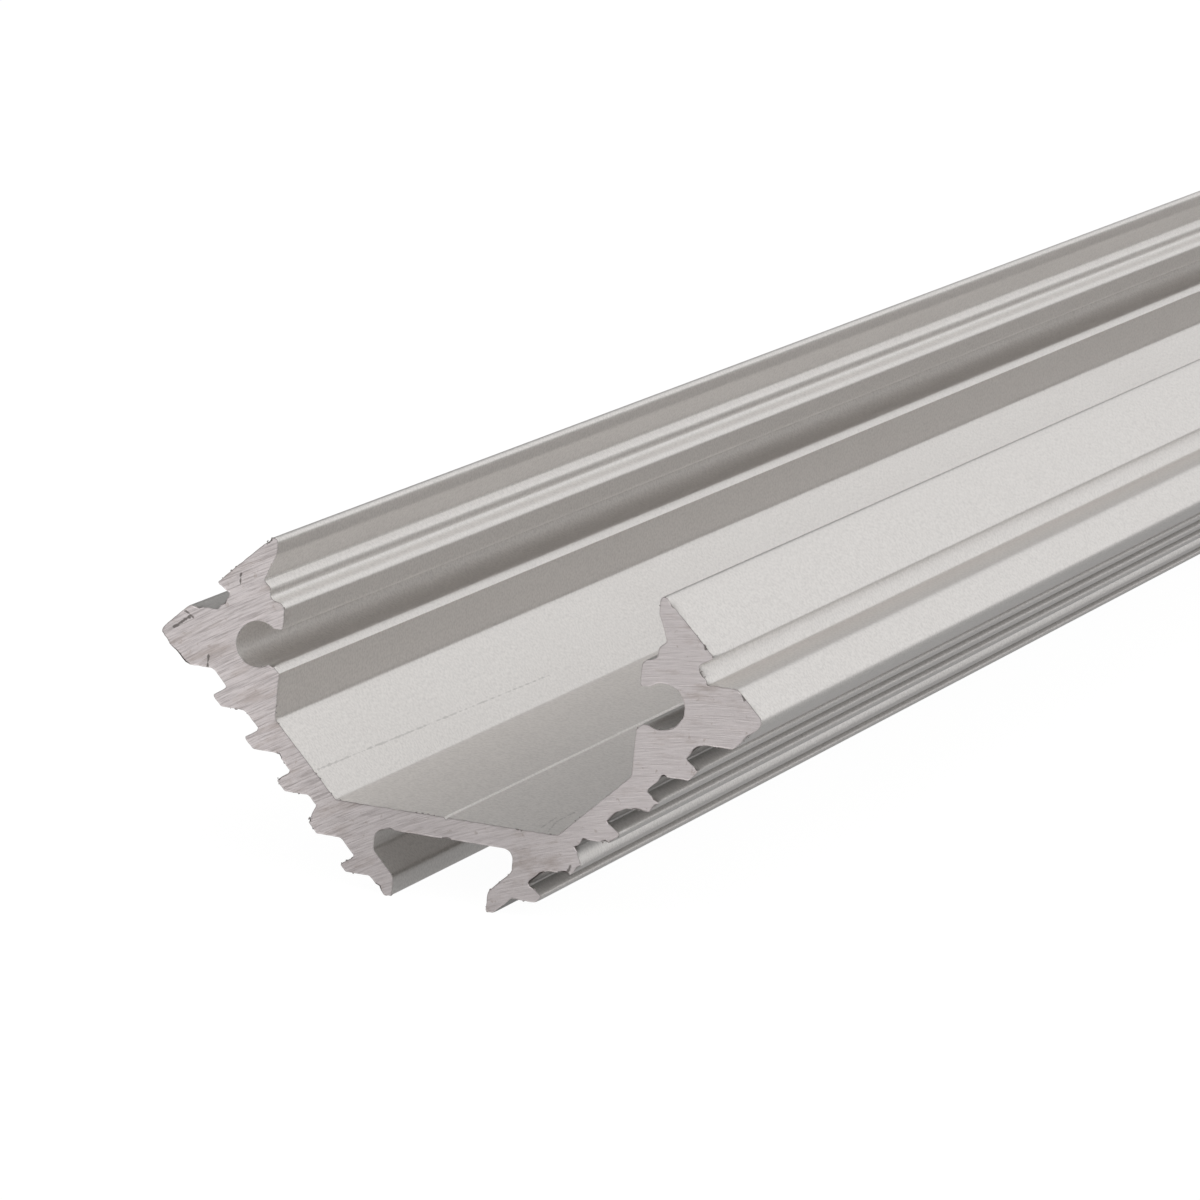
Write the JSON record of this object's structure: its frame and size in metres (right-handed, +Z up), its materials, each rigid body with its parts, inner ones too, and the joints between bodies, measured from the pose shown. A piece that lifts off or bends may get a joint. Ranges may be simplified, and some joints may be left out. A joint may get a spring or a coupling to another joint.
{
  "type": "aluminium angle profile",
  "caption": "Extruded aluminium corner profile for LED strip: two toothed legs at a right angle, a slant-sided strip channel with snap pockets for a cover, and an undercut slot for clips.",
  "frame": {"origin": "centre of the bar's length, midway between the legs, on the plane of the two lip feet", "axes": "+Y along the bar, +Z up out of the open channel, +X across it towards the right-hand leg"},
  "size_m": [0.0272, 0.5, 0.0147],
  "materials": {
    "anodised_aluminium": "satin clear anodised along the bar, with bare saw-cut end faces"
  },
  "bodies": {
    "root": {"corner_profile": "anodised_aluminium"}
  },
  "joints": []
}
